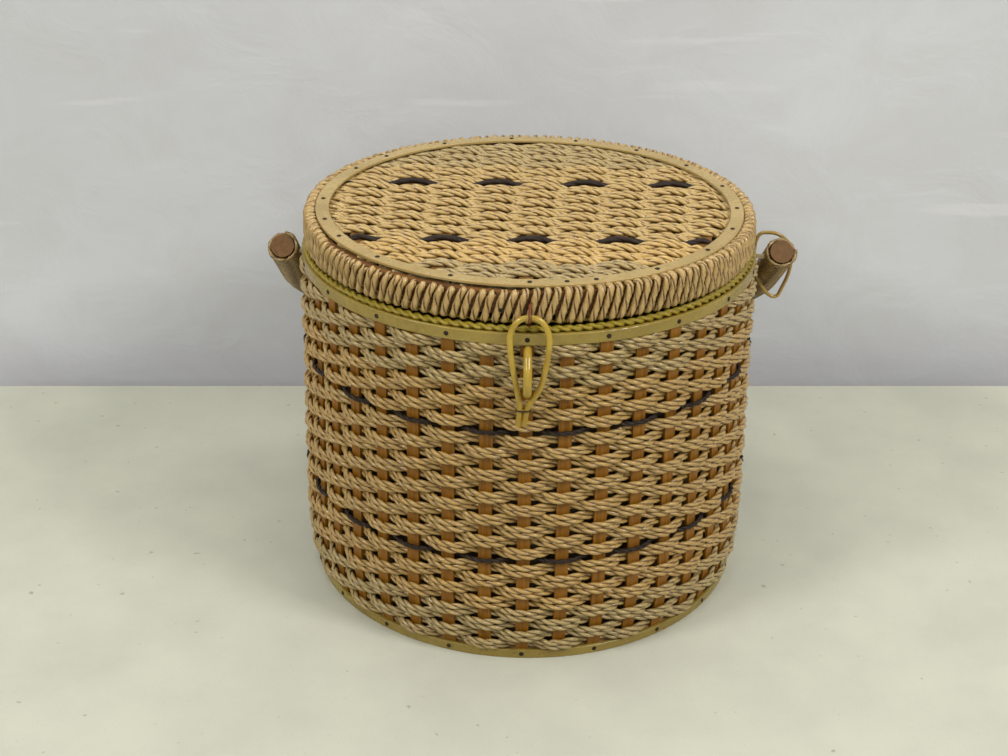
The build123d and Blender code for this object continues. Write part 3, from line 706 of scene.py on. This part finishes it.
ob = trim_cord(114.75, 182.45, 10.2, (0.86, 0.62), (1.10, 0.86), 1).build("trim_on_body", MAT_YARN)
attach(ob, "basket"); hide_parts("body_braid")
ob = trim_cord(112.6, 185.3, 7.0, (0.34, 0.26), (0.52, 0.36), 1).build("trim_on_lid", MAT_YARN)
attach(ob, "lid"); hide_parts("lid_braid")

# ------------------------------------------------------------------ handle
FOLD = math.radians(36.0)
BOW_XC, BOW_W, BOW_L, BOW_R1, A1 = 1.9, 130.6, 152.0, 95.0, math.radians(50.0)
PIV_Y, PIV_Z = 8.0, 170.0
R2 = (BOW_W - BOW_R1) / math.cos(A1) + BOW_R1
V_ARM = BOW_L - ((BOW_R1 - R2) * math.sin(A1) + R2)


def bow_line(v_start, step):
    """Centre line of the bow in its own plane, from the left cut end to the right one."""
    pts = []
    n = int((V_ARM - v_start) / step)
    for q in np.linspace(v_start, V_ARM, n, endpoint=False):
        pts.append((-BOW_W, q))
    n = int(BOW_R1 * A1 / step)
    for q in np.linspace(0, A1, n, endpoint=False):
        pts.append((-(BOW_W - BOW_R1) - BOW_R1 * math.cos(q), V_ARM + BOW_R1 * math.sin(q)))
    vc = BOW_L - R2
    sp = math.pi / 2 - A1
    n = int(R2 * sp / step)
    for q in np.linspace(-sp, 0, n, endpoint=False):
        pts.append((R2 * math.sin(q), vc + R2 * math.cos(q)))
    left = np.array(pts)
    right = left[::-1].copy()
    right[:, 0] *= -1
    return np.concatenate([left, [[0.0, BOW_L]], right])


def bow_to_world(P2, dz=None):
    c, s = math.cos(FOLD), math.sin(FOLD)
    X = np.stack([BOW_XC + P2[:, 0], PIV_Y + P2[:, 1] * c, PIV_Z - P2[:, 1] * s], 1)
    return X


fine = bow_line(-9.4, 0.35)
W = bow_to_world(fine)
T = np.gradient(W, axis=0)
T /= np.linalg.norm(T, axis=1)[:, None]
up = np.array([0.0, math.sin(FOLD), math.cos(FOLD)])
N = np.tile(up, (len(W), 1))
B = np.cross(T, N)
sl = np.concatenate([[0], np.cumsum(np.linalg.norm(np.diff(W, axis=0), axis=1))])
WP = 4.1
turns = sl[-1] / WP
nn = int(turns * 32)
ss = np.linspace(0, sl[-1], nn)
ang = TAU * turns * ss / sl[-1] + 0.35 * Wander(30.0)(ss)
ctr = np.stack([np.interp(ss, sl, W[:, i]) for i in range(3)], 1)
Nn = np.stack([np.interp(ss, sl, N[:, i]) for i in range(3)], 1)
Bn = np.stack([np.interp(ss, sl, B[:, i]) for i in range(3)], 1)
from_end = np.minimum(ss, sl[-1] - ss)
rad = 6.92 + 0.05 * Wander(14.0)(ss * 9) + 0.42 * np.exp(-(from_end / 5.5) ** 2)
out = np.cos(ang)[:, None] * Nn + np.sin(ang)[:, None] * Bn
C = ctr + rad[:, None] * out
grip = Strands()
cuts = list(range(0, nn, 1300)) + [nn]
for q0, q1 in zip(cuts[:-1], cuts[1:]):
    if q1 - q0 < 8:
        continue
    q1 = min(nn, q1 + 1)
    grip.cord(C[q0:q1], out[q0:q1], lay=12.5, twist=-1, off_n=0.26, off_b=0.86, ply_n=0.78, ply_b=1.18, phase=0.4,
              sides=5, tint=RNG.random(), tone=0.35, run0=q0 * 1.2)
ob = grip.build("grip_cord", MAT_GRIP)
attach(ob, "handle"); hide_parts("handle_wrap")


# ------------------------------------------------------------------ quilted and padded lining
def quilt_disc(name, radius, z_flat, depth, sign, cell, mat):
    """Round cushion. sign -1 puffs down, +1 puffs up. Diamond channels of stitching."""
    nr, na = 66, 220
    rows = []
    for i in range(nr + 1):
        r = radius * i / nr
        rows.append(r)
    verts, faces = [], []
    verts.append((0, 0, 0))
    idx = []
    for i in range(1, nr + 1):
        ringi = []
        for j in range(na):
            a = TAU * j / na
            ringi.append(len(verts))
            verts.append((rows[i] * math.cos(a), rows[i] * math.sin(a), 0))
        idx.append(ringi)
    V = np.array(verts, float)
    u = (V[:, 0] + V[:, 1]) / math.sqrt(2)
    w = (V[:, 0] - V[:, 1]) / math.sqrt(2)
    pu = np.abs(np.sin(math.pi * u / cell))
    pw = np.abs(np.sin(math.pi * w / cell))
    puff = (pu * pw) ** 0.45
    rr = np.hypot(V[:, 0], V[:, 1])
    edge = np.sqrt(np.clip(1 - (rr / radius) ** 14, 0, 1))
    wrinkle = 0.10 * np.sin(V[:, 0] * 0.9 + 1.3 * np.sin(V[:, 1] * 0.35)) * (1 - puff)
    h = depth * (0.42 + 0.58 * puff) * edge + wrinkle * edge
    V[:, 2] = z_flat + sign * h
    top = len(V)
    for j in range(na):
        faces.append((0, idx[0][j], idx[0][(j + 1) % na]))
    for i in range(nr - 1):
        for j in range(na):
            faces.append((idx[i][j], idx[i + 1][j], idx[i + 1][(j + 1) % na], idx[i][(j + 1) % na]))
    # flat back
    back = [top + j for j in range(na)]
    VB = np.array([(radius * math.cos(TAU * j / na), radius * math.sin(TAU * j / na), z_flat) for j in range(na)])
    V = np.concatenate([V, VB, [[0, 0, z_flat]]])
    cidx = len(V) - 1
    for j in range(na):
        faces.append((idx[-1][j], back[j], back[(j + 1) % na], idx[-1][(j + 1) % na]))
        faces.append((back[j], cidx, back[(j + 1) % na]))
    if sign < 0:
        faces = [tuple(reversed(f)) for f in faces]
    me = bpy.data.meshes.new(name)
    me.from_pydata((V * MM).tolist(), [], faces)
    me.polygons.foreach_set("use_smooth", np.full(len(me.polygons), True))
    me.materials.append(mat)
    me.update()
    ob = bpy.data.objects.new(name, me)
    bpy.context.scene.collection.objects.link(ob)
    return ob


ob = quilt_disc("lid_quilt", 108.9, 192.5, 5.2, -1, 24.0, MAT_SATIN)
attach(ob, "lid"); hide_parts("lid_lining")
ob = quilt_disc("base_quilt", 108.5, 5.1, 2.7, 1, 24.0, MAT_SATIN)
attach(ob, "basket"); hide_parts("base_lining")

def wall_cloth(name, mat):
    """Gathered cloth down the inside wall, turned out over the hoop at the top."""
    path = np.array([(109.6, 5.4), (109.6, 60), (109.6, 120), (109.6, 168), (109.7, 175.5), (109.9, 178.6), (110.3, 180.5), (111.1, 181.35),
                     (112.0, 181.45), (112.7, 181.45)])
    seg = np.concatenate([[0], np.cumsum(np.linalg.norm(np.diff(path, axis=0), axis=1))])
    q = np.concatenate([np.linspace(0, 168, 22, endpoint=False), np.linspace(168, seg[-1], 16)])
    r = np.interp(q, seg, path[:, 0])
    z = np.interp(q, seg, path[:, 1])
    na = 1120
    a = np.arange(na) / na * TAU
    nz = Wander(0.9)
    amp0 = 0.55 + 0.18 * nz(np.arange(na) / 26.0)
    verts = []
    for i in range(len(q)):
        drift = 0.006 * math.sin(z[i] * 0.045) + 0.004 * math.sin(z[i] * 0.11 + 1.0)
        gather = 0.55 + 0.45 * math.exp(-((178 - z[i]) / 26.0) ** 2) if z[i] < 178 else 1.0
        lim = 1.0 if z[i] < 178 else max(0.18, (181.6 - z[i]) / 3.6)
        w = amp0 * gather * lim * np.sin(124 * (a + drift) + 1.2 * np.sin(9 * a + z[i] * 0.02)) * 0.75
        rr = r[i] - 0.15 - w * (1.0 if z[i] < 181.2 else 0.0)
        zz = np.full(na, z[i]) + (0.12 * w if z[i] >= 181.2 else 0.0)
        verts.append(np.stack([rr * np.sin(a), -rr * np.cos(a), zz], 1))
    V = np.concatenate(verts)
    faces = []
    for i in range(len(q) - 1):
        for j in range(na):
            j2 = (j + 1) % na
            faces.append((i * na + j, (i + 1) * na + j, (i + 1) * na + j2, i * na + j2))
    me = bpy.data.meshes.new(name)
    me.from_pydata((V * MM).tolist(), [], faces)
    me.polygons.foreach_set("use_smooth", np.full(len(me.polygons), True))
    me.materials.append(mat)
    me.update()
    ob = bpy.data.objects.new(name, me)
    bpy.context.scene.collection.objects.link(ob)
    sd = ob.modifiers.new("thick", "SOLIDIFY")
    sd.thickness = 0.0004
    sd.offset = 0.0
    return ob


ob = wall_cloth("wall_cloth", MAT_SATIN)
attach(ob, "basket"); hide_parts("side_lining")



def card_ring(name, r, z0, z1, mat):
    """Thin card behind the weave, which the inside cloth covers. Its dark brown is painted shade, for the deep shadow
    seen through the gaps in the weave.
    """
    na = 180
    me = bpy.data.meshes.new(name)
    V, F = [], []
    for rr, z in ((r, z0), (r, z1), (r - 0.35, z1), (r - 0.35, z0)):
        V += [(rr * math.sin(TAU * j / na) * MM, -rr * math.cos(TAU * j / na) * MM, z * MM) for j in range(na)]
    for k in range(4):
        for j in range(na):
            j2 = (j + 1) % na
            k2 = (k + 1) % 4
            F.append((k * na + j, k * na + j2, k2 * na + j2, k2 * na + j))
    me.from_pydata(V, [], F)
    me.materials.append(mat)
    me.update()
    o = bpy.data.objects.new(name, me)
    bpy.context.scene.collection.objects.link(o)
    return o


ob = card_ring("wall_card", 110.4, 5.2, 180.6, MAT_CARD_PAINTED_SHADE)
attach(ob, "basket"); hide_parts("side_lining")

# ------------------------------------------------------------------ the CAD pieces that show as they are
for node, mat in {
        "base_board": MAT_BOARD, "body_stakes": MAT_STAKE, "body_top_hoop": MAT_HOOP, "body_top_band": MAT_BAND_PAINTED_SHADE,
        "body_bottom_band": MAT_BAND_PAINTED_SHADE, "body_top_nails": MAT_NAIL, "body_bottom_nails": MAT_NAIL, 
        "closure_catch": MAT_TUBE, "hinge_body_leaf": MAT_BRASS, "hinge_pin": MAT_BRASS, "hinge_body_tacks": MAT_NAIL,
        "handle_pin_left": MAT_PIN, "handle_pin_right": MAT_PIN, "lid_hoop": MAT_HOOP, "lid_board": MAT_BOARD,
        "lid_stakes": MAT_WARP, "lid_band": MAT_LBAND_PAINTED_LIT, "lid_band_nails": MAT_NAIL, "rim_nail": MAT_NAIL,
        "closure_thread": MAT_COPPER, "hinge_lid_leaf": MAT_BRASS, "hinge_lid_tacks": MAT_NAIL, "closure_loop": MAT_TUBE,
        "closure_tie": MAT_NAIL, "handle_core": MAT_CANE, "handle_ring": MAT_RING_PAINTED_SHADE}.items():
    dress(node, mat)


# ------------------------------------------------------------------ stage and light
def plane(name, pts, mat):
    me = bpy.data.meshes.new(name)
    me.from_pydata(pts, [], [(0, 1, 2, 3)])
    me.materials.append(mat)
    o = bpy.data.objects.new(name, me)
    bpy.context.scene.collection.objects.link(o)
    return o


fm = Mat("floor")
spk = fm.noise(fm.scaled(fm.coord(), (900, 900, 900)), 1.0, 2.0, 0.5)
cloud = fm.noise(fm.scaled(fm.coord(), (14, 14, 14)), 1.0, 5.0, 0.6)
fcol = fm.mix(fm.fac(cloud, 0.35, 0.65), srgb(181, 182, 167), srgb(191, 192, 175))
fcol = fm.mix(fm.fac(spk, 0.62, 0.72, 0.0, 0.30), fcol, srgb(156, 154, 138))
dot = fm.noise(fm.scaled(fm.coord(), (150, 150, 150)), 1.0, 2.0, 0.5)
fcol = fm.mix(fm.fac(dot, 0.71, 0.76, 0.0, 0.55), fcol, srgb(120, 112, 92))
fm.color(fcol)
fm.rough(0.55)
bm = Mat("backdrop")
soft = bm.noise(bm.scaled(bm.coord(), (2.2, 2.2, 4.0)), 1.0, 2.0, 0.5)
patch = bm.noise(bm.scaled(bm.coord(), (16, 16, 22)), 1.0, 5.0, 0.62, 0.6)
bcol = bm.mix(bm.fac(soft, 0.35, 0.65), srgb(190, 192, 195), srgb(202, 204, 207))
bcol = bm.mix(bm.fac(patch, 0.34, 0.62, 0.30, 0.0), bcol, srgb(182, 181, 178))
crease = bm.noise(bm.scaled(bm.coord(), (5, 5, 60)), 1.0, 3.0, 0.5)
bcol = bm.mix(bm.fac(crease, 0.64, 0.70, 0.0, 0.35), bcol, srgb(214, 214, 216))
bm.color(bcol)
bm.normal(bm.bump(patch, 0.25, 0.004))
bm.rough(0.8)
EDGE_Y, EDGE_SLOPE = 0.18815, 0.0263
plane("floor", [(-3, -3, 0), (3, -3, 0), (3, EDGE_Y + 3 * EDGE_SLOPE, 0), (-3, EDGE_Y - 3 * EDGE_SLOPE, 0)], fm.m)
plane("backdrop", [(-3, EDGE_Y + 0.03 - 3 * EDGE_SLOPE, -0.6), (3, EDGE_Y + 0.03 + 3 * EDGE_SLOPE, -0.6),
                   (3, EDGE_Y + 0.03 + 3 * EDGE_SLOPE, 3), (-3, EDGE_Y + 0.03 - 3 * EDGE_SLOPE, 3)], bm.m)


def area(name, loc, target, size, power, color=(1, 1, 1)):
    d = bpy.data.lights.new(name, "AREA")
    d.shape = "RECTANGLE"
    d.size, d.size_y = size
    d.energy = power
    d.color = color
    o = bpy.data.objects.new(name, d)
    o.location = loc
    o.rotation_euler = (Vector(target) - Vector(loc)).to_track_quat("-Z", "Y").to_euler()
    bpy.context.scene.collection.objects.link(o)
    return o


area("key_left", (-1.15, -0.75, 1.25), (0, 0, 0.1), (0.42, 0.42), 12.8, (1.0, 0.98, 0.95))
area("key_right", (1.15, -0.75, 1.25), (0, 0, 0.1), (0.42, 0.42), 16.8, (1.0, 0.98, 0.95))
area("top", (0.0, 0.15, 1.7), (0, 0, 0.1), (1.1, 1.1), 11, (1.0, 0.99, 0.97))
area("front", (0.0, -1.7, 0.75), (0, 0, 0.1), (0.5, 0.5), 3, (1.0, 0.99, 0.97))
for name, loc in (("spark_left", (-0.8, -1.05, 1.05)), ("spark_right", (0.75, -1.0, 1.15)), ("spark_top", (-0.15, -0.55, 1.5))):
    area(name, loc, (0, 0, 0.1), (0.07, 0.07), 1.3, (1.0, 0.99, 0.97))
w = bpy.data.worlds.new("world")
bpy.context.scene.world = w
w.use_nodes = True
w.node_tree.nodes["Background"].inputs[0].default_value = (1.0, 0.97, 0.93, 1)
w.node_tree.nodes["Background"].inputs[1].default_value = 0.27
bpy.context.scene.view_settings.view_transform = "Standard"
